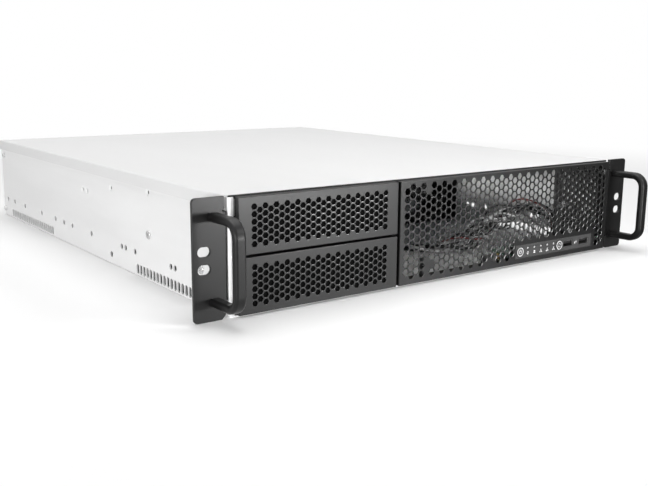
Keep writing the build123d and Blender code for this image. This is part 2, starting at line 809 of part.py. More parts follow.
def status_led(x):
    """One indicator: a lens through the fascia and a holder on the board."""
    z = fascia_middle + led_rise
    lens = rod_y(x, z, fascia_front + slack, fascia_back + over, led_radius)
    lens = fillet(lens.edges().sort_by(Axis.Y)[0], led_radius * 0.4)
    y0 = fascia_back + slip
    return lens + block(x - led_body, x + led_body, y0, y0 + led_holder_depth, pcb_top, z + led_body)


def push_button(place):
    """Round cap with a retaining collar and a stem that slides in its switch."""
    x = fascia_left + place
    front = fascia_front - button_proud
    cap = rod_y(x, fascia_middle, front, collar_back, button_radius)
    cap = fillet(cap.edges().sort_by(Axis.Y)[0], button_edge)
    collar = rod_y(x, fascia_middle, collar_front, collar_back, button_radius + button_collar)
    stem = rod_y(x, fascia_middle, collar_front, collar_back + button_stem_length, button_stem)
    return cap + collar + stem


def push_switch(place):
    """Switch housing on the board, bored for the button's stem."""
    x = fascia_left + place
    half = switch_width / 2
    y0 = switch_front
    body = block(x - half, x + half, y0, y0 + switch_depth, pcb_top, pcb_top + switch_width)
    return body - rod_y(x, fascia_middle, y0 - over, y0 + switch_depth - switch_wall, button_stem + slip)


def usb_socket(place):
    """Metal shell of one socket, open at the front."""
    x = fascia_left + place
    half_x, half_z = usb_width / 2, usb_height / 2
    y0 = fascia_front + slip
    shell = block(x - half_x, x + half_x, y0, y0 + usb_length, fascia_middle - half_z, fascia_middle + half_z)
    shell = fillet(shell.edges().filter_by(Axis.Y), usb_corner)
    in_x, in_z = half_x - usb_wall, half_z - usb_wall
    low, high = fascia_middle - in_z, fascia_middle + in_z
    return shell - block(x - in_x, x + in_x, y0 - over, y0 + usb_length - usb_wall, low, high)


def usb_tongue(place):
    """Plastic block at the back of a socket, with its contact tongue."""
    x = fascia_left + place
    y1 = fascia_front + slip + usb_length - usb_wall
    in_x, in_z = usb_width / 2 - usb_wall - slack, usb_height / 2 - usb_wall - slack
    base_front = y1 - usb_base
    base = block(x - in_x, x + in_x, base_front, y1, fascia_middle - in_z, fascia_middle + in_z)
    half = usb_tongue_width / 2
    top = fascia_middle + in_z - usb_tongue_drop
    tip = base_front - usb_tongue_length
    return base + block(x - half, x + half, tip, base_front, top - usb_tongue_thick, top)


def control_board():
    """Board behind the control strip, with its two screw holes."""
    x0, x1 = fascia_left + pcb_end_gap, fascia_right - pcb_end_gap
    board = block(x0, x1, pcb_front, pcb_front + pcb_depth, pcb_bottom, pcb_top)
    hole = small_screw + slack
    return board - [rod_z(x, y, pcb_bottom - over, pcb_top + over, hole) for x, y in pcb_screw_places()]


def pcb_screw_places():
    y = pcb_front + pcb_screw_depth
    return [(fascia_left + pcb_screw_inset, y), (fascia_right - pcb_screw_inset, y)]


def pcb_standoff(x, y):
    bore = rod_z(x, y, pcb_bottom - pcb_bore_depth, pcb_bottom + over, small_screw + slack)
    return rod_z(x, y, sheet, pcb_bottom, boss_radius) - bore


def pcb_screws():
    length = pcb_thick + pcb_bore_depth - screw_end_gap
    screw = Rot(180, 0, 0) * pan_screw(length, small_screw, small_head, small_head_height)
    return group([Pos(x, y, pcb_top) * screw for x, y in pcb_screw_places()])


def lead_path():
    """Straight runs joined by arcs as large as the runs allow."""
    points = [Vector(*p) for p in lead_points]
    radii = []
    for before, here, after in zip(points, points[1:], points[2:]):
        run_in, run_out = here - before, after - here
        turn = math.radians(run_in.get_angle(run_out))
        radii.append(lead_arc_share * min(run_in.length, run_out.length) / math.tan(turn / 2))
    return FilletPolyline(*points, radius=radii)


def front_lead():
    """Bundle of wires from the control board over the floor to the board bay."""
    path = lead_path()
    section = Plane(origin=path @ 0, z_dir=path % 0) * Circle(lead_radius)
    return sweep(section, path=path)


def lead_clip(y):
    """Saddle clip on the floor over the lead."""
    (x0, y0, z0), (x1, y1, _) = lead_points[-3], lead_points[-2]
    x = x0 + (x1 - x0) * (y - y0) / (y1 - y0)
    bore = lead_radius + slip
    half = bore + lead_clip_wall
    length = lead_clip_length / 2
    arch = rod_y(x, z0, y - length, y + length, half)
    arch &= block(x - half, x + half, y - length, y + length, sheet, z0 + half)
    foot = half + lead_clip_foot
    feet = block(x - foot, x + foot, y - length, y + length, sheet, sheet + lead_clip_wall)
    channel = rod_y(x, z0, y - length - over, y + length + over, bore)
    return arch + feet - channel - block(x - bore, x + bore, y - length - over, y + length + over, 0, z0)


def front_plug():
    """Plug on the control board, where the lead starts."""
    x, y, z = lead_points[0]
    return block(x - plug_width / 2, x + plug_width / 2, y - plug_depth / 2, y + plug_depth / 2, pcb_top, z)


def rear_plug():
    """Plug at the lead's other end, on the floor behind the fans."""
    x, y, z = lead_points[-1]
    return block(x - plug_width / 2, x + plug_width / 2, y, y + plug_length, sheet, sheet + plug_height)


def fan_wall():
    """Folded wall that carries the fans, with a notch for the lead."""
    x0, x1 = fan_wall_left, fan_wall_right
    y0, y1 = fan_wall_place, fan_wall_place + sheet
    z0, z1 = sheet + slip, fan_height + fan_size / 2 + fan_wall_rise
    wall = block(x0, x1, y0, y1, z0, z1)
    forward = y0 - frame_return
    wall += [block(x, x + sheet, forward, y0, z0, z1) for x in (x0, x1 - sheet)]
    wall += [block(x0 + sheet, x1 - sheet, forward, y0, z, z + sheet) for z in (z0, z1 - sheet)]
    wall -= [rod_y(x, fan_height, y0 - over, y1 + over, fan_duct) for x in fan_places]
    wall -= [rod_y(x, z, y0 - over, y1 + over, small_screw + slack) for x, z in fan_screw_places()]
    lead_x, _, lead_z = lead_points[-2]
    room = lead_radius + 2 * slip
    wall -= block(lead_x - room, lead_x + room, forward - over, y1 + over, z0 - over, lead_z + room)
    rivet_y = wall_rivet_place()
    bores = [rod_x(rivet_y, z, x0 - over, x1 + over, rivet_radius + slack) for z in wall_rivet_heights()]
    return wall - bores


def fan_screw_places():
    offset = fan_hole_pitch / 2
    corners = [(dx, dz) for dx in (-offset, offset) for dz in (-offset, offset)]
    return [(x + dx, fan_height + dz) for x in fan_places for dx, dz in corners]


def fan_frame(x):
    """Square fan housing: duct, corner bores, and a motor seat on four arms."""
    half = fan_size / 2
    y0, y1 = fan_front, fan_front + fan_depth
    body = block(x - half, x + half, y0, y1, fan_height - half, fan_height + half)
    body = fillet(body.edges().filter_by(Axis.Y), fan_corner)
    body -= rod_y(x, fan_height, y0 - over, y1 + over, fan_duct)
    arm_front = y1 - fan_arm_thick
    arm = block(-fan_duct - over, fan_duct + over, arm_front, y1, -fan_arm / 2, fan_arm / 2)
    for turn in (45, 135):
        body += Pos(x, 0, fan_height) * Rot(0, turn, 0) * arm
    body += rod_y(x, fan_height, arm_front, y1, fan_stator)
    body += rod_y(x, fan_height, y0 + fan_depth / 3, arm_front, fan_shaft * 3)
    body -= rod_y(x, fan_height, y0, arm_front + over, fan_shaft + slack)
    offset = fan_hole_pitch / 2
    for dx in (-offset, offset):
        for dz in (-offset, offset):
            body -= rod_y(x + dx, fan_height + dz, y0 - over, y1 + over, fan_screw_hole)
    return body


def fan_rotor(x):
    """Hub cup with its shaft and tilted blades."""
    y0 = fan_front + rotor_gap
    y1 = fan_front + fan_depth - fan_arm_thick - rotor_gap
    hub = rod_y(x, fan_height, y0, y1, fan_hub)
    hub = fillet(hub.edges().sort_by(Axis.Y)[0], fan_hub_edge)
    hub -= rod_y(x, fan_height, y0 + fan_hub_face, y1 + over, fan_hub - fan_hub_wall)
    shaft = rod_y(x, fan_height, y0 + fan_hub_face / 2, y1 + fan_shaft_reach, fan_shaft)
    tip = fan_duct - fan_tip_gap
    middle = (y0 + y1) / 2
    chord = (y1 - y0 - 2 * rotor_gap) / math.cos(math.radians(fan_blade_tilt))
    blade = Rot(0, 0, fan_blade_tilt) * Box(fan_blade_thick, chord, tip * 2)
    sweep_ring = rod_y(0, 0, -chord, chord, tip) - rod_y(0, 0, -chord, chord, fan_hub - fan_hub_wall / 2)
    blade = (Pos(0, 0, tip) * blade) & sweep_ring
    turns = [360 / fan_blade_count * k for k in range(fan_blade_count)]
    blades = [Pos(x, middle, fan_height) * Rot(0, turn, 0) * blade for turn in turns]
    return hub + shaft + blades


def fan_screws():
    screw = Rot(-90, 0, 0) * pan_screw(sheet + fan_screw_bite, small_screw, fan_screw_head, small_head_height)
    return group([Pos(x, fan_wall_place, z) * screw for x, z in fan_screw_places()])


def rivet(length):
    """Rivet along +Z, its domed head below Z = 0."""
    head = Pos(0, 0, -rivet_head_height / 2) * Cylinder(rivet_head, rivet_head_height)
    head = fillet(head.edges().group_by(Axis.Z)[0], rivet_head_height * 0.7)
    head -= Pos(0, 0, -rivet_head_height) * Cylinder(rivet_dimple, rivet_head_height)
    return head + Pos(0, 0, length / 2) * Cylinder(rivet_radius, length)


def side_rivets():
    """Rivets of the drive cage on the left and of the fan wall on the right and at the cage."""
    cage_rivet = Rot(0, 90, 0) * rivet(bay_left + tub_half - slack)
    left = [Pos(-tub_half, y, z) * cage_rivet for y, z in cage_rivet_places]
    right_rivet = Rot(0, -90, 0) * rivet(2 * sheet + slip)
    right = [Pos(tub_half, wall_rivet_place(), z) * right_rivet for z in wall_rivet_heights()]
    return group(left + right)


def cage_rivets():
    """Rivets through the fan wall's return into the drive cage, flush inside the bay."""
    inward = Rot(0, -90, 0) * rivet(2 * sheet + slip)
    head_seat = fan_wall_left + sheet
    return group([Pos(head_seat, wall_rivet_place(), z) * inward for z in wall_rivet_heights()])


def top_cover():
    """Lid with side and rear flanges, and tongues that hook under the front frame."""
    half = case_width / 2
    low = panel_height - lid_flange
    back = case_depth + slip + sheet
    outer = block(-half, half, lid_front, back, low, panel_height)
    top_edges = outer.edges().group_by(Axis.Z)[-1]
    folds = top_edges.filter_by(Axis.Y) + top_edges.filter_by(Axis.X).sort_by(Axis.Y)[-1:]
    outer = fillet(folds, bend)
    under = panel_height - sheet
    hollow = block(-half + sheet, half - sheet, -over, case_depth + slip, low - over, under)
    lid = outer - hollow
    for x in lid_tongue_places:
        lid += lid_tongue(x, under)
    z = panel_height - lid_screw_drop
    return lid - [rod_y(x, z, case_depth, back + over, small_screw + slack) for x in lid_screw_places]


def lid_tongue(x, under):
    """A tongue that reaches forward under the frame's top return."""
    half = lid_tongue_width / 2
    top = tub_top - sheet - slip
    riser = frame_back + frame_return + lid_riser_gap
    step = block(x - half, x + half, riser, riser + sheet, top - sheet, under)
    return step + block(x - half, x + half, frame_back + lid_tongue_setback, riser, top - sheet, top)


def lid_screws():
    back = case_depth + slip + sheet
    length = 2 * sheet + slip + screw_bite
    screw = Rot(90, 0, 0) * pan_screw(length, small_screw, small_head, small_head_height)
    return group([Pos(x, back, panel_height - lid_screw_drop) * screw for x in lid_screw_places])


def rear_panel_screws():
    """Screws through the sides of the tub into the rear panel's returns."""
    length = 2 * sheet + slip + short_bite
    screw = Rot(0, -90, 0) * pan_screw(length, small_screw, small_head, small_head_height)
    right = [Pos(tub_half, y, z) * screw for y, z in rear_screw_places()]
    return group(right + [mirror(piece, Plane.YZ) for piece in right])


def all_parts():
    """Every piece by its node name."""
    split = (panel_rise + panel_top) / 2
    lower = (panel_rise, split - cover_gap / 2)
    upper = (split + cover_gap / 2, panel_top)
    ear, bar = rack_ear(), handle()
    parts = {
        "chassis_tub": chassis_tub(),
        "rear_panel": rear_panel(),
        "rear_panel_screws": rear_panel_screws(),
        "top_cover": top_cover(),
        "lid_screws": lid_screws(),
        "front_frame": front_frame(),
        "inner_guard": inner_guard(),
        "grille_panel": grille_panel(),
        "grille_standoffs": group([grille_standoff(x, z) for x, z in boss_places()]),
        "grille_screws": grille_screws(),
        "bay_cover_upper": bay_cover(*upper),
        "bay_cover_lower": bay_cover(*lower),
        "dust_filter_upper": dust_filter(*upper),
        "dust_filter_lower": dust_filter(*lower),
        "drive_cage": drive_cage(),
        "drive_cage_screws": cage_screws(),
        "rack_ear_right": ear,
        "rack_ear_left": mirror(ear, Plane.YZ),
        "handle_right": bar,
        "handle_left": mirror(bar, Plane.YZ),
        "handle_screws": handle_screws(),
        "ear_screws": ear_screws(),
        "control_fascia": control_fascia(),
        "control_board": control_board(),
        "control_board_standoffs": group([pcb_standoff(x, y) for x, y in pcb_screw_places()]),
        "control_board_screws": pcb_screws(),
        "status_leds": group([status_led(x) for x in led_places()]),
        "power_button": push_button(power_place),
        "reset_button": push_button(reset_place),
        "power_switch": push_switch(power_place),
        "reset_switch": push_switch(reset_place),
        "front_lead": front_lead(),
        "lead_clips": group([lead_clip(y) for y in lead_clip_places]),
        "lead_plug_front": front_plug(),
        "lead_plug_rear": rear_plug(),
        "fan_wall": fan_wall(),
        "fan_screws": fan_screws(),
        "side_rivets": side_rivets(),
        "cage_rivets": cage_rivets(),
        "board_standoffs": group([board_standoff(x, y) for x, y in board_holes()]),
        "slot_rail": slot_rail(),
        "slot_screws": slot_screws(),
    }
    for name, place in zip(("left", "right"), usb_places):
        parts[f"usb_socket_{name}"] = usb_socket(place)
        parts[f"usb_tongue_{name}"] = usb_tongue(place)
    for number, x in enumerate(fan_places, start=1):
        parts[f"fan_frame_{number}"] = fan_frame(x)
        parts[f"fan_rotor_{number}"] = fan_rotor(x)
    for number, x in enumerate(slot_places, start=1):
        parts[f"slot_cover_{number}"] = slot_cover(x)
    return parts


# The origin is set in the middle of the whole object's footprint, on the surface it stands on
front_end = -handle_reach
rear_end = case_depth + slip + sheet + small_head_height
origin_y = (front_end + rear_end) / 2

os.makedirs("parts", exist_ok=True)
for node, shape in all_parts().items():
    export_step(Pos(0, -origin_y, 0) * shape, f"parts/{node}.step")
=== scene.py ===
import json
import math
import bmesh
import bpy
from mathutils import Matrix, Vector, noise


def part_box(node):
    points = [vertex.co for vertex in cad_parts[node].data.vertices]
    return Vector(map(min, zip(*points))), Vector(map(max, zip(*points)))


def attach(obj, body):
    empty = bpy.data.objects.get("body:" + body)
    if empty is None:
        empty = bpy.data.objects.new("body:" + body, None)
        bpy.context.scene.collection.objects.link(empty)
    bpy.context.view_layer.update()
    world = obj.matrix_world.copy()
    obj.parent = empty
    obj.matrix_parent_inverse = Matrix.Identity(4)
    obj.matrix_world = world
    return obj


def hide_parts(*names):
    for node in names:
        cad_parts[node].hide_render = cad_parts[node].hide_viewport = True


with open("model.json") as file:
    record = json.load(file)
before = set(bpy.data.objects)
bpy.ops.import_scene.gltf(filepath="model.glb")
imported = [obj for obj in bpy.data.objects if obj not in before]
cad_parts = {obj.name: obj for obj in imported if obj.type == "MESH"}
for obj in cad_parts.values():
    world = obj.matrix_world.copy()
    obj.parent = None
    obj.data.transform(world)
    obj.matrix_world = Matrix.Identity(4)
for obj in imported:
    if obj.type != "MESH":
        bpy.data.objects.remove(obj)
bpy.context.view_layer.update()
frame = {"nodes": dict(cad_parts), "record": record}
nodes = frame["nodes"]
mm = 0.001

# Camera: place in metres, turn in degrees, lens and sensor in millimetres
camera_place = Vector((-0.51005, -0.76172, 0.17702))
camera_turn = (78.357, -0.421, -36.287)
camera_lens = 48.06
camera_sensor = 36.0

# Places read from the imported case
ear_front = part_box("rack_ear_right")[0].y
fascia_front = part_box("control_fascia")[0].y
power_low, power_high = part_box("power_button")
reset_low, reset_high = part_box("reset_button")
leds_low, leds_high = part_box("status_leds")

# Lead from the control strip to the board bay, in the frame of the ears' front faces
lead_points = [
    (167.0, 23.0, 18.0),
    (167.0, 23.0, 29.0),
    (160.0, 31.0, 40.0),
    (143.0, 39.0, 43.5),
    (122.0, 45.0, 35.5),
    (98.0, 51.0, 23.5),
    (73.0, 58.0, 12.0),
    (50.0, 74.0, 5.6),
    (36.5, 104.0, 4.6),
    (31.7, 160.0, 4.6),
    (32.3, 205.0, 4.6),
    (32.3, 252.0, 4.6),
]
wire_radius = 0.85 * mm
wire_sides = 8
wire_rings = [(0.0, 1), (1.7 * mm, 6), (2.9 * mm, 10)]
wire_twist_length = 90.0 * mm
# How much wider the bundle gets in the loose share of its length, and how its wires sway there
wire_loose = 2.0
loose_share = 0.5
wire_sway = 0.35
sway_rate = 9.0
sway_shift = 2.4
wire_colours = ["black", "white", "black", "grey", "black", "white", "black", "black", "grey",
                "black", "white", "black", "red", "black", "white", "black", "grey"]

# Chamfer on the sharp edges of the black front pieces
edge_chamfer = 0.2 * mm
sharp_angle = 40.0
weld_distance = 0.001 * mm

# Symbols printed on the control strip
ink_height = 0.05 * mm
ink_sink = 0.01 * mm
ring_outer = 4.05 * mm
ring_inner = 3.45 * mm
line = 0.42 * mm
lens_width = 3.0 * mm
symbol_drop = 2.1 * mm

# Foam behind the bay covers
foam_columns, foam_rows = 150, 44
foam_relief = 0.5 * mm
foam_scale = 400.0

# Contacts on the tongues of the sockets
contact_places = (-3.5 * mm, -1.0 * mm, 1.0 * mm, 3.5 * mm)
contact_size = (1.0 * mm, 7.4 * mm, 0.2 * mm)
contact_back = 4.2 * mm
contact_rise = 2.62 * mm
contact_chamfer = 0.05 * mm

# Floor: half width, where its shade gives way to white, and the painted reflection that glossy coats see of
# it: a glow that runs from left to right
floor_half = 12.0
floor_fade = (0.5, 1.3)
floor_white = (0.08, 1.0)
floor_run = (-0.3, 0.3)
floor_painted_reflection_stops = ((0.42, 1.0), (0.68, 0.42))
floor_painted_reflection_left, floor_painted_reflection_right = 0.62, 0.07
floor_painted_reflection_level = 1.1

# World: soft level on dull coats, and what glossy coats see: a dark screen in front on the right, up to a
# height, before a level that rises from the right rear to the left front
soft_level = 0.42
screen_across = (0.68, 0.73, 0.0)
screen_edge = (-0.3, 0.1)
screen_front = (0.1, -0.2)
screen_height = (0.62, 0.42)
screen_shade = 0.06
side_across = (-0.92, -0.39, 0.0)
side_edge = (-0.2, 0.2)
side_levels = (0.65, 0.95)

# Lamps: place, target, size, watts and angle of spread
lamps = {
    "overhead": ((0.0, 0.1, 1.7), (0.0, 0.0, 0.0), (1.6, 1.6), 27.0, 180.0),
    "rims": ((0.5, -0.85, 0.62), (0.0, -0.3, 0.03), (0.2, 0.2), 0.36, 50.0),
    "left_side": ((-1.25, -0.5, 0.11), (-0.2, -0.12, 0.05), (0.8, 0.18), 3.7, 180.0),
    "front": ((0.27, -0.95, 0.065), (-0.14, -0.29, 0.04), (0.28, 0.11), 4.5, 180.0),
    "left_front": ((-0.93, -0.9, 0.1), (-0.1, -0.29, 0.05), (0.3, 0.16), 3.0, 180.0),
    "inside": ((0.02, -0.148, 0.06), (0.21, -0.148, 0.05), (0.2, 0.006), 0.008, 16.0),
}


def add_node(tree, kind, inputs=None, **settings):
    """A shader node with its settings, and its inputs given as numbers or as the sockets that feed them."""
    made = tree.nodes.new("ShaderNode" + kind)
    for key, value in settings.items():
        setattr(made, key, value)
    for key, value in (inputs or {}).items():
        if isinstance(value, bpy.types.NodeSocket):
            tree.links.new(value, made.inputs[key])
        else:
            made.inputs[key].default_value = value
    return made


def grey(value):
    return (value, value, value, 1.0)


def new_finish(name, **constants):
    """A principled material with its constant sockets set, its node tree and its object coordinates."""
    material = bpy.data.materials.new(name)
    material.use_nodes = True
    tree = material.node_tree
    shader = tree.nodes["Principled BSDF"]
    for key, value in constants.items():
        shader.inputs[key.replace("_", " ")].default_value = value
    place = add_node(tree, "TexCoord").outputs["Object"]
    return material, tree, shader, place


def speckle(tree, place, scale, detail=2.0, distortion=0.0):
    inputs = {"Vector": place, "Scale": scale, "Detail": detail, "Distortion": distortion}
    return add_node(tree, "TexNoise", inputs).outputs["Fac"]


def blend_colours(tree, factor, dark, light, low=0.3, high=0.7):
    ramp = add_node(tree, "ValToRGB", {"Fac": factor})
    ramp.color_ramp.elements[0].position = low
    ramp.color_ramp.elements[0].color = dark
    ramp.color_ramp.elements[1].position = high
    ramp.color_ramp.elements[1].color = light
    return ramp.outputs["Color"]


def remap(tree, value, source, target, steps="LINEAR"):
    """Carries a value from one range to another and holds it at the ends."""
    inputs = {"Value": value, "From Min": source[0], "From Max": source[1],
              "To Min": target[0], "To Max": target[1]}
    return add_node(tree, "MapRange", inputs, interpolation_type=steps).outputs["Result"]


def spread(tree, factor, low, high):
    """The useful middle of a noise, carried to a range."""
    return remap(tree, factor, (0.3, 0.7), (low, high))


def calculate(tree, operation, first, second):
    return add_node(tree, "Math", {0: first, 1: second}, operation=operation).outputs[0]


def dot_product(tree, first, second):
    return add_node(tree, "VectorMath", {0: first, 1: second}, operation="DOT_PRODUCT").outputs["Value"]


def background_rays(tree):
    """Rays that see the white background, straight or through glass, and glossy rays."""
    rays = add_node(tree, "LightPath").outputs
    seen = calculate(tree, "MAXIMUM", rays["Is Camera Ray"], rays["Is Transmission Ray"])
    return seen, rays["Is Glossy Ray"]


def relief(tree, height, strength, distance):
    inputs = {"Height": height, "Strength": strength, "Distance": distance}
    return add_node(tree, "Bump", inputs).outputs["Normal"]


def connect(tree, shader, **sockets):
    for key, socket in sockets.items():
        tree.links.new(socket, shader.inputs[key.replace("_", " ")])


def zinc_sheet(name, dark, light, metallic, rough_low, rough_high):
    """Zinc-coated sheet: cloudy sheen drawn out along the rolling direction, and a very fine rolled grain."""
    material, tree, shader, place = new_finish(name, Metallic=metallic, Specular_IOR_Level=0.12)
    along = add_node(tree, "Mapping", {"Vector": place, "Scale": (30.0, 4.0, 30.0)})
    cloud = speckle(tree, along.outputs["Vector"], 1.0, 4.0, 0.4)
    stretched = add_node(tree, "Mapping", {"Vector": place, "Scale": (2500.0, 60.0, 2500.0)})
    grain = speckle(tree, stretched.outputs["Vector"], 1.0, 1.0)
    connect(tree, shader,
            Base_Color=blend_colours(tree, cloud, dark, light),
            Roughness=spread(tree, cloud, rough_low, rough_high),
            Normal=relief(tree, grain, 0.12, 0.02 * mm))
    return material


def powder_coat(name, dark, light, rough_low, rough_high, grain, depth, specular):
    """Cured powder coat: fine orange peel over a slow drift in gloss."""
    material, tree, shader, place = new_finish(name, Specular_IOR_Level=specular)
    peel = speckle(tree, place, 1.0 / grain, 3.0)
    drift = speckle(tree, place, 22.0, 3.0)
    connect(tree, shader,
            Base_Color=blend_colours(tree, peel, dark, light),
            Roughness=spread(tree, drift, rough_low, rough_high),
            Normal=relief(tree, peel, 0.35, depth))
    return material


def bright_plate(name, dark, light, rough_low, rough_high):
    """Plated steel of small fasteners, with faint turning marks and handling haze."""
    material, tree, shader, place = new_finish(name, Metallic=1.0)
    haze = speckle(tree, place, 260.0, 4.0)
    marks = speckle(tree, place, 3200.0, 1.0)
    connect(tree, shader,
            Base_Color=blend_colours(tree, haze, dark, light),
            Roughness=spread(tree, haze, rough_low, rough_high),
            Normal=relief(tree, marks, 0.2, 0.01 * mm))
    return material


def moulded(name, dark, light, rough_low, rough_high, grain=0.5 * mm, depth=0.02 * mm, **constants):
    """Moulded plastic with a fine spark-eroded texture."""
    material, tree, shader, place = new_finish(name, **constants)
    texture = speckle(tree, place, 1.0 / grain, 2.0)
    flow = speckle(tree, place, 45.0, 3.0)
    connect(tree, shader,
            Base_Color=blend_colours(tree, flow, dark, light),
            Roughness=spread(tree, texture, rough_low, rough_high),
            Normal=relief(tree, texture, 0.3, depth))
    return material


def open_foam(name):
    """Open-cell foam: dark pores between grey struts."""
    material, tree, shader, place = new_finish(name, Specular_IOR_Level=0.02)
    pores = add_node(tree, "TexVoronoi", {"Vector": place, "Scale": 900.0}, feature="DISTANCE_TO_EDGE")
    gap = pores.outputs["Distance"]
    connect(tree, shader,
            Base_Color=blend_colours(tree, gap, grey(0.006), grey(0.001), 0.03, 0.2),
            Roughness=spread(tree, gap, 0.8, 0.95),
            Normal=relief(tree, gap, 0.8, 0.4 * mm))
    return material


def circuit_board(name):
    """Green solder mask over fine copper tracks."""
    material, tree, shader, place = new_finish(name, Coat_Weight=0.4, Coat_Roughness=0.15)
    inputs = {"Vector": place, "Scale": 90.0, "Mortar Size": 0.04,
              "Color1": grey(0.0), "Color2": grey(0.25), "Mortar": grey(1.0)}
    tracks = add_node(tree, "TexBrick", inputs).outputs["Color"]
    weave = speckle(tree, place, 700.0, 2.0)
    connect(tree, shader,
            Base_Color=blend_colours(tree, tracks, (0.006, 0.05, 0.022, 1.0), (0.03, 0.14, 0.06, 1.0),
                                     0.2, 0.9),
            Roughness=spread(tree, weave, 0.28, 0.42),
            Normal=relief(tree, tracks, 0.4, 0.03 * mm))
    return material


def all_finishes():
    """One finish for each material slot of the record."""
    return {
        "galvanised": zinc_sheet("zinc_sheet", grey(0.74), grey(0.80), 0.12, 0.36, 0.46),
        "lid_sheet": zinc_sheet("lid_sheet_metal", grey(0.66), grey(0.68), 0.0, 0.44, 0.5),
        "black_coat": powder_coat("black_powder_coat", grey(0.004), grey(0.007), 0.35, 0.41,
                                  0.5 * mm, 0.02 * mm, 0.4),
        "frame_coat": powder_coat("black_frame_coat", grey(0.008), grey(0.014), 0.5, 0.6,
                                  0.6 * mm, 0.03 * mm, 0.3),
        "handle_coat": powder_coat("satin_handle_coat", grey(0.004), grey(0.007), 0.34, 0.42,
                                   0.8 * mm, 0.02 * mm, 0.3),
        "zinc_screw": bright_plate("zinc_plate", grey(0.62), grey(0.78), 0.2, 0.34),
        "black_screw": bright_plate("black_oxide", grey(0.03), grey(0.06), 0.3, 0.42),
        "fan_plastic": moulded("fan_plastic", grey(0.014), grey(0.022), 0.38, 0.5),
        "foam": open_foam("black_foam"),
        "fascia": moulded("fascia_plastic", grey(0.032), grey(0.042), 0.42, 0.52, 0.35 * mm),
        "button": moulded("button_plastic", grey(0.06), grey(0.075), 0.32, 0.4, 0.3 * mm, 0.01 * mm),
        "lens": moulded("milky_lens", grey(0.42), grey(0.52), 0.18, 0.28, 0.8 * mm, 0.01 * mm,
                        Coat_Weight=0.5),
        # Socket shells: tin plate with its base colour darkened, a painted shade for the inside of the socket
        # openings
        "usb_shell": bright_plate("tin_plate_painted_shade", grey(0.30), grey(0.42), 0.26, 0.38),
        "socket_plastic": moulded("socket_plastic", grey(0.004), grey(0.008), 0.4, 0.5),
        "pcb": circuit_board("solder_mask"),
        "switch": moulded("switch_plastic", grey(0.02), grey(0.03), 0.4, 0.5),
        "wire": moulded("black_vinyl", grey(0.008), grey(0.014), 0.14, 0.22, 1.5 * mm, 0.02 * mm),
        "clip": moulded("natural_nylon", grey(0.62), grey(0.7), 0.35, 0.45, Subsurface_Weight=0.1),
        "brass": bright_plate("turned_brass", (0.55, 0.38, 0.14, 1.0), (0.74, 0.55, 0.24, 1.0), 0.22, 0.36),
    }


def new_piece(name, mesh_data, materials, body):
    """A mesh object with the given materials that rides on a body."""
    piece = bpy.data.objects.new(name, mesh_data)
    for material in materials:
        mesh_data.materials.append(material)
    bpy.context.scene.collection.objects.link(piece)
    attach(piece, body)
    return piece


def mesh_from(build, name):
    """A mesh made of a filled bmesh, its normals turned outwards."""
    bmesh.ops.recalc_face_normals(build, faces=build.faces)
    data = bpy.data.meshes.new(name)
    build.to_mesh(data)
    build.free()
    return data


def ear_frame_point(point):
    x, y, z = point
    return Vector((x * mm, y * mm + ear_front, z * mm))


def smooth_route(points):
    """Points along the route's spline, read from a curve with no bevel."""
    data = bpy.data.curves.new("route", "CURVE")
    data.dimensions = "3D"
    data.resolution_u = 12
    spline = data.splines.new("NURBS")
    spline.points.add(len(points) - 1)
    for target, point in zip(spline.points, points):
        target.co = (*point, 1.0)
    spline.order_u = 3
    spline.use_endpoint_u = True
    holder = bpy.data.objects.new("route", data)
    bpy.context.scene.collection.objects.link(holder)
    bpy.context.view_layer.update()
    depsgraph = bpy.context.evaluated_depsgraph_get()
    sampled = bpy.data.meshes.new_from_object(holder.evaluated_get(depsgraph))
    route = [vertex.co.copy() for vertex in sampled.vertices]
    bpy.data.objects.remove(holder)
    bpy.data.meshes.remove(sampled)
    return route


def route_frames(route):
    """Position, two cross directions and run length at each point, carried along without twist."""
    frames = []
    side = Vector((1.0, 0.0, 0.0))
    travelled = 0.0
    for index, point in enumerate(route):
        ahead = route[min(index + 1, len(route) - 1)] - route[max(index - 1, 0)]
        ahead.normalize()
        side = (side - ahead * side.dot(ahead)).normalized()
        if index:
            travelled += (point - route[index - 1]).length
        frames.append((point, side.copy(), ahead.cross(side), travelled))
    return frames


def add_tube(build, points, radius, sides, material_index):
    """A round tube through the points, closed at both ends."""
    turns = [2 * math.pi * k / sides for k in range(sides)]
    rings = []
    for point, across, up, _ in route_frames(points):
        rings.append([build.verts.new(point + radius * (math.cos(turn) * across + math.sin(turn) * up))
                      for turn in turns])
    faces = [build.faces.new(rings[0]), build.faces.new(rings[-1])]
    for first, second in zip(rings, rings[1:]):
        for k in range(sides):
            after = (k + 1) % sides
            faces.append(build.faces.new((first[k], first[after], second[after], second[k])))
    for face in faces:
        face.smooth = True
        face.material_index = material_index


def looseness(share):
    """How far the wires stand apart: tight at both ends and in the clips, loose over the arch."""
    return 1.0 + wire_loose * math.sin(math.pi * min(share / loose_share, 1.0)) ** 2


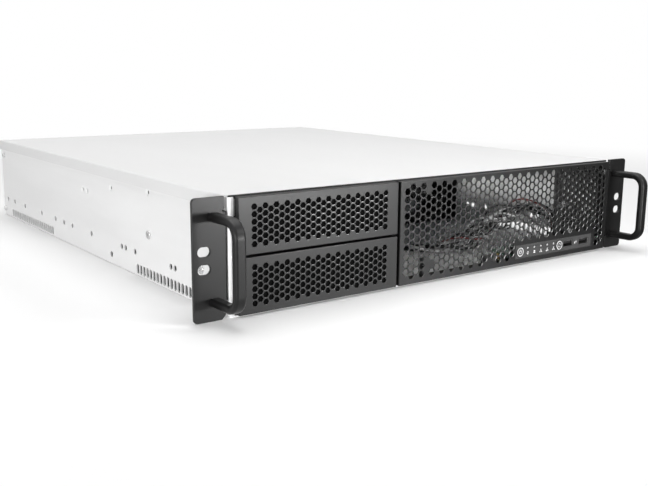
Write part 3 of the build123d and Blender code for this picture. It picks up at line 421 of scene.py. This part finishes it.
def lead_wires(finishes):
    """Single wires, laid along the lead's route with a slow twist."""
    frames = route_frames(smooth_route([ear_frame_point(point) for point in lead_points]))
    total = frames[-1][3]
    colours = {
        "black": finishes["wire"],
        "red": moulded("red_vinyl", (0.10, 0.006, 0.006, 1.0), (0.16, 0.01, 0.01, 1.0), 0.25, 0.35,
                       1.5 * mm),
        "grey": moulded("grey_vinyl", grey(0.20), grey(0.26), 0.25, 0.35, 1.5 * mm),
        "white": moulded("white_vinyl", grey(0.70), grey(0.78), 0.25, 0.35, 1.5 * mm),
    }
    names = list(colours)
    build = bmesh.new()
    number = 0
    for ring_radius, count in wire_rings:
        for k in range(count):
            strand = []
            for point, across, up, travelled in frames:
                share = travelled / total
                angle = 2 * math.pi * (k / count + travelled / wire_twist_length) + number
                wave = math.sin(sway_rate * share * math.pi + sway_shift * number)
                sway = 1.0 + wire_sway * (looseness(share) - 1.0) * wave
                reach = ring_radius * looseness(share) * sway
                strand.append(point + reach * (math.cos(angle) * across + math.sin(angle) * up))
            add_tube(build, strand, wire_radius, wire_sides, names.index(wire_colours[number]))
            number += 1
    data = mesh_from(build, "front_lead_wires")
    piece = new_piece("front_lead_wires", data, colours.values(), "case")
    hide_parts("front_lead")


def band(cx, cz, inner, outer, start, stop, steps=24):
    """Outline of an arc-shaped stroke, from a start to a stop angle in degrees."""
    angles = [math.radians(start + (stop - start) * k / steps) for k in range(steps + 1)]
    out = [(cx + outer * math.cos(a), cz + outer * math.sin(a)) for a in angles]
    back = [(cx + inner * math.cos(a), cz + inner * math.sin(a)) for a in reversed(angles)]
    return out + back


def ring(cx, cz, inner, outer):
    return [band(cx, cz, inner, outer, 0, 180), band(cx, cz, inner, outer, 180, 360)]


def rectangle(cx, cz, width, height):
    left, right = cx - width / 2, cx + width / 2
    low, high = cz - height / 2, cz + height / 2
    return [(left, low), (right, low), (right, high), (left, high)]


def printed(name, outlines, front, body, material):
    """Raised ink: each outline becomes a thin plate on a front-facing surface."""
    build = bmesh.new()
    for outline in outlines:
        back_verts = [build.verts.new((x, front + ink_sink, z)) for x, z in outline]
        face_verts = [build.verts.new((x, front - ink_height, z)) for x, z in outline]
        build.faces.new(back_verts)
        build.faces.new(face_verts)
        for k in range(len(outline)):
            after = (k + 1) % len(outline)
            build.faces.new((back_verts[k], back_verts[after], face_verts[after], face_verts[k]))
    return new_piece(name, mesh_from(build, name), [material], body)


def power_symbol(cx, cz):
    """An open ring with a bar through its gap."""
    size = 1.75 * mm
    return [band(cx, cz, size - line, size, 125, 415), rectangle(cx, cz + size * 0.75, line, size * 1.1)]


def reset_symbol(cx, cz):
    """Two curved arrows that chase each other."""
    size = 1.8 * mm
    outlines = []
    for turn in (0, 180):
        outlines.append(band(cx, cz, size - line, size, turn + 25, turn + 145))
        tip = math.radians(turn + 8)
        heel = math.radians(turn + 32)
        middle = size - line / 2
        point = (cx + middle * math.cos(tip), cz + middle * math.sin(tip))
        wide = [(cx + reach * math.cos(heel), cz + reach * math.sin(heel))
                for reach in (middle + line * 1.4, middle - line * 1.4)]
        outlines.append([point, *wide])
    return outlines


def lamp_symbol(cx, cz):
    """A bulb: a ring, its stem and a foot."""
    size = 1.15 * mm
    centre = cz + 0.35 * mm
    stem = rectangle(cx, centre - 1.9 * mm, line * 0.7, 0.5 * mm)
    foot = rectangle(cx, cz - 1.15 * mm, 1.1 * mm, line * 0.8)
    return ring(cx, centre, size - line * 0.8, size) + [stem, foot]


def disk_symbol(cx, cz):
    """A drive drawn as a short drum."""
    wide, high = 1.1 * mm, 1.3 * mm
    turns = [math.radians(20 * k) for k in range(18)]
    top = [(cx + wide * math.cos(turn), cz + high * 0.7 + 0.45 * mm * math.sin(turn)) for turn in turns]
    return [top, rectangle(cx, cz - high * 0.35, 2 * wide, high * 0.75)]


def network_symbol(cx, cz):
    """Three boxes joined by lines, one above two."""
    box = 1.0 * mm
    low, high = cz - 1.0 * mm, cz + 1.0 * mm
    boxes = [rectangle(cx, high, box, box)]
    boxes += [rectangle(cx + side * 1.05 * mm, low, box, box) for side in (-1, 1)]
    stem = rectangle(cx, cz + 0.2 * mm, line * 0.7, 1.0 * mm)
    branch = rectangle(cx, cz - 0.25 * mm, 2.5 * mm, line * 0.7)
    return boxes + [stem, branch]


def exchange_symbol(cx, cz):
    """Two small arrow heads, one up and one down."""
    half, high = 0.75 * mm, 1.2 * mm
    left, right = cx - 0.9 * mm, cx + 0.9 * mm
    return [[(left - half, cz - high), (left + half, cz - high), (left, cz + high)],
            [(right - half, cz + high), (right, cz - high), (right + half, cz + high)]]


def fascia_prints():
    """White symbols on the control strip and on its two buttons."""
    ink = moulded("white_ink", grey(0.66), grey(0.74), 0.4, 0.5, 0.3 * mm, 0.005 * mm)
    middle = (power_low.z + power_high.z) / 2
    power_x = (power_low.x + power_high.x) / 2
    reset_x = (reset_low.x + reset_high.x) / 2
    printed("power_print", ring(power_x, middle, ring_inner, ring_outer) + power_symbol(power_x, middle),
            power_low.y, "power_key", ink)
    printed("reset_print", ring(reset_x, middle, ring_inner, ring_outer) + reset_symbol(reset_x, middle),
            reset_low.y, "reset_key", ink)
    led_first = leds_low.x + lens_width / 2
    led_pitch = (leds_high.x - leds_low.x - lens_width) / 4
    low = middle - symbol_drop
    outlines = lamp_symbol(led_first, low) + disk_symbol(led_first + led_pitch, low)
    for k in (2, 3, 4):
        outlines += network_symbol(led_first + k * led_pitch, low)
    sockets = (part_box("usb_socket_left")[1].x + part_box("usb_socket_right")[0].x) / 2
    outlines += exchange_symbol(sockets, middle)
    printed("fascia_print", outlines, fascia_front, "case", ink)


def foam_pad(name, node, body, finish):
    """Open foam sheet: a fine uneven front, pressed flat against the back of its cover."""
    low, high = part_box(node)
    build = bmesh.new()
    grid = []
    for row in range(foam_rows + 1):
        z = low.z + (high.z - low.z) * row / foam_rows
        line_of_verts = []
        for column in range(foam_columns + 1):
            x = low.x + (high.x - low.x) * column / foam_columns
            inset = foam_relief * abs(noise.noise(Vector((x, 0.0, z)) * foam_scale))
            line_of_verts.append(build.verts.new((x, low.y + inset, z)))
        grid.append(line_of_verts)
    for lower, upper in zip(grid, grid[1:]):
        for k in range(foam_columns):
            build.faces.new((lower[k], lower[k + 1], upper[k + 1], upper[k]))
    rim = [edge for edge in build.edges if edge.is_boundary]
    pulled = bmesh.ops.extrude_edge_only(build, edges=rim)
    moved = [item for item in pulled["geom"] if isinstance(item, bmesh.types.BMVert)]
    for vert in moved:
        vert.co.y = high.y
    back = [item for item in pulled["geom"] if isinstance(item, bmesh.types.BMEdge)]
    bmesh.ops.contextual_create(build, geom=back)
    for face in build.faces:
        face.smooth = True
    piece = new_piece(name, mesh_from(build, name), [finish], body)
    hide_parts(node)


def socket_contacts(side, finish):
    """Four gilt strips on the tongue of one socket."""
    low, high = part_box("usb_tongue_" + side)
    middle = (low.x + high.x) / 2
    build = bmesh.new()
    shape = Matrix.Diagonal((*contact_size, 1.0))
    for place in contact_places:
        centre = Matrix.Translation((middle + place, low.y + contact_back, low.z + contact_rise))
        made = bmesh.ops.create_cube(build, size=1.0, matrix=centre @ shape)
        edges = list({edge for vert in made["verts"] for edge in vert.link_edges})
        bmesh.ops.bevel(build, geom=edges, offset=contact_chamfer, segments=1)
    new_piece("usb_contacts_" + side, mesh_from(build, "usb_contacts_" + side), [finish], "case")


def plain_floor():
    """A pale floor that keeps the case's shadow and fades into the white background; to glossy rays it glows
    as a painted reflection, darkest to the right.
    """
    build = bmesh.new()
    bmesh.ops.create_grid(build, x_segments=8, y_segments=8, size=floor_half)
    data = bpy.data.meshes.new("floor")
    build.to_mesh(data)
    build.free()
    floor = bpy.data.objects.new("floor", data)
    bpy.context.scene.collection.objects.link(floor)
    material, tree, shader, place = new_finish("pale_floor", Roughness=0.9, Specular_IOR_Level=0.1)
    drift = speckle(tree, place, 3.0, 2.0)
    connect(tree, shader, Base_Color=blend_colours(tree, drift, grey(0.78), grey(0.81)))
    reach = add_node(tree, "VectorMath", {0: place}, operation="LENGTH").outputs["Value"]
    fade = remap(tree, reach, floor_fade, floor_white, "SMOOTHSTEP")
    seen, glossy = background_rays(tree)
    share = calculate(tree, "MULTIPLY", fade, seen)
    white = add_node(tree, "Emission", {"Color": grey(1.0), "Strength": 1.0}).outputs["Emission"]
    mixed = add_node(tree, "MixShader", {0: share, 1: shader.outputs["BSDF"], 2: white}).outputs["Shader"]
    # To glossy rays the floor glows brightest left of the middle and dark to the right: a painted reflection
    # for the glossy coats
    right = add_node(tree, "SeparateXYZ", {"Vector": place}).outputs["X"]
    painted_reflection_ramp = add_node(tree, "ValToRGB", {"Fac": remap(tree, right, floor_run, (0.0, 1.0))})
    ramp = painted_reflection_ramp.color_ramp
    ramp.elements[0].color = grey(floor_painted_reflection_left)
    ramp.elements[1].color = grey(floor_painted_reflection_right)
    for position, shade in floor_painted_reflection_stops:
        ramp.elements.new(position).color = grey(shade)
    level = calculate(tree, "MULTIPLY", painted_reflection_ramp.outputs["Color"], floor_painted_reflection_level)
    mirrored = add_node(tree, "Emission", {"Color": grey(1.0), "Strength": level}).outputs["Emission"]
    surface = add_node(tree, "MixShader", {0: glossy, 1: mixed, 2: mirrored}).outputs["Shader"]
    tree.links.new(surface, tree.nodes["Material Output"].inputs["Surface"])
    data.materials.append(material)


def white_world():
    """Soft level from all round, white behind, and a dark screen to the right of the front."""
    world = bpy.data.worlds.new("studio")
    bpy.context.scene.world = world
    world.use_nodes = True
    tree = world.node_tree
    tree.nodes.clear()
    soft = add_node(tree, "Background", {"Color": grey(1.0), "Strength": soft_level}).outputs["Background"]
    white = add_node(tree, "Background", {"Color": grey(1.0), "Strength": 1.0}).outputs["Background"]
    direction = add_node(tree, "TexCoord").outputs["Generated"]
    axes = add_node(tree, "SeparateXYZ", {"Vector": direction}).outputs
    right = remap(tree, dot_product(tree, direction, screen_across), screen_edge, (0.0, 1.0), "SMOOTHSTEP")
    ahead = remap(tree, axes["Y"], screen_front, (0.0, 1.0))
    low = remap(tree, axes["Z"], screen_height, (0.0, 1.0))
    screen = calculate(tree, "MULTIPLY", calculate(tree, "MULTIPLY", right, ahead), low)
    darkened = remap(tree, screen, (0.0, 1.0), (1.0, screen_shade))
    slope = remap(tree, dot_product(tree, direction, side_across), side_edge, side_levels)
    level = calculate(tree, "MULTIPLY", darkened, slope)
    mirrored = add_node(tree, "Background", {"Color": grey(1.0), "Strength": level}).outputs["Background"]
    seen, glossy = background_rays(tree)
    shown = add_node(tree, "MixShader", {0: glossy, 1: soft, 2: mirrored}).outputs["Shader"]
    mixed = add_node(tree, "MixShader", {0: seen, 1: shown, 2: white}).outputs["Shader"]
    output = add_node(tree, "OutputWorld")
    tree.links.new(mixed, output.inputs["Surface"])


def soft_lamp(name, place, target, size, power, spread_angle):
    """A rectangular area lamp that faces a target."""
    lamp = bpy.data.lights.new(name, "AREA")
    lamp.shape = "RECTANGLE"
    lamp.size, lamp.size_y = size
    lamp.energy = power
    lamp.spread = math.radians(spread_angle)
    holder = bpy.data.objects.new(name, lamp)
    holder.location = place
    holder.rotation_euler = (Vector(target) - Vector(place)).to_track_quat("-Z", "Y").to_euler()
    holder.visible_camera = False
    bpy.context.scene.collection.objects.link(holder)


def photo_camera():
    data = bpy.data.cameras.new("camera")
    data.lens = camera_lens
    data.sensor_width = camera_sensor
    camera = bpy.data.objects.new("camera", data)
    camera.location = camera_place
    camera.rotation_euler = [math.radians(angle) for angle in camera_turn]
    bpy.context.scene.collection.objects.link(camera)
    bpy.context.scene.camera = camera


def dress_nodes(finishes):
    """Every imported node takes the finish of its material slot."""
    for part in frame["record"]["subparts"]:
        node = nodes[part["node"]]
        for holder in node.material_slots:
            holder.material = finishes[part["material_slot"]]


def chamfer_edges(names, finish=None):
    """Breaks the sharp edges of CAD pieces with a narrow chamfer, which can have a finish of its own."""
    for name in names:
        if finish:
            nodes[name].data.materials.append(finish)
        weld = nodes[name].modifiers.new("joined", "WELD")
        weld.merge_threshold = weld_distance
        bevel = nodes[name].modifiers.new("edges", "BEVEL")
        bevel.width = edge_chamfer
        bevel.segments = 1
        bevel.material = len(nodes[name].data.materials) - 1
        bevel.limit_method = "ANGLE"
        bevel.angle_limit = math.radians(sharp_angle)
        bevel.use_clamp_overlap = False


finishes = all_finishes()
dress_nodes(finishes)
# Chamfer coat: glossier than the flat coat, and its lighter colour is a painted highlight along the rims of
# the holes and edges
edge_coat_painted_highlight = powder_coat("edge_coat_with_painted_highlight", grey(0.03), grey(0.045), 0.19, 0.25, 0.5 * mm, 0.01 * mm, 0.8)
chamfer_edges(["grille_panel", "bay_cover_upper", "bay_cover_lower"], edge_coat_painted_highlight)
chamfer_edges(["rack_ear_left", "rack_ear_right", "control_fascia", "front_frame"])
lead_wires(finishes)
fascia_prints()
foam_pad("filter_foam_upper", "dust_filter_upper", "cover_upper", finishes["foam"])
foam_pad("filter_foam_lower", "dust_filter_lower", "cover_lower", finishes["foam"])
for side in ("left", "right"):
    socket_contacts(side, finishes["brass"])
plain_floor()
white_world()
for name, settings in lamps.items():
    soft_lamp(name, *settings)
photo_camera()
bpy.context.scene.view_settings.view_transform = "Standard"
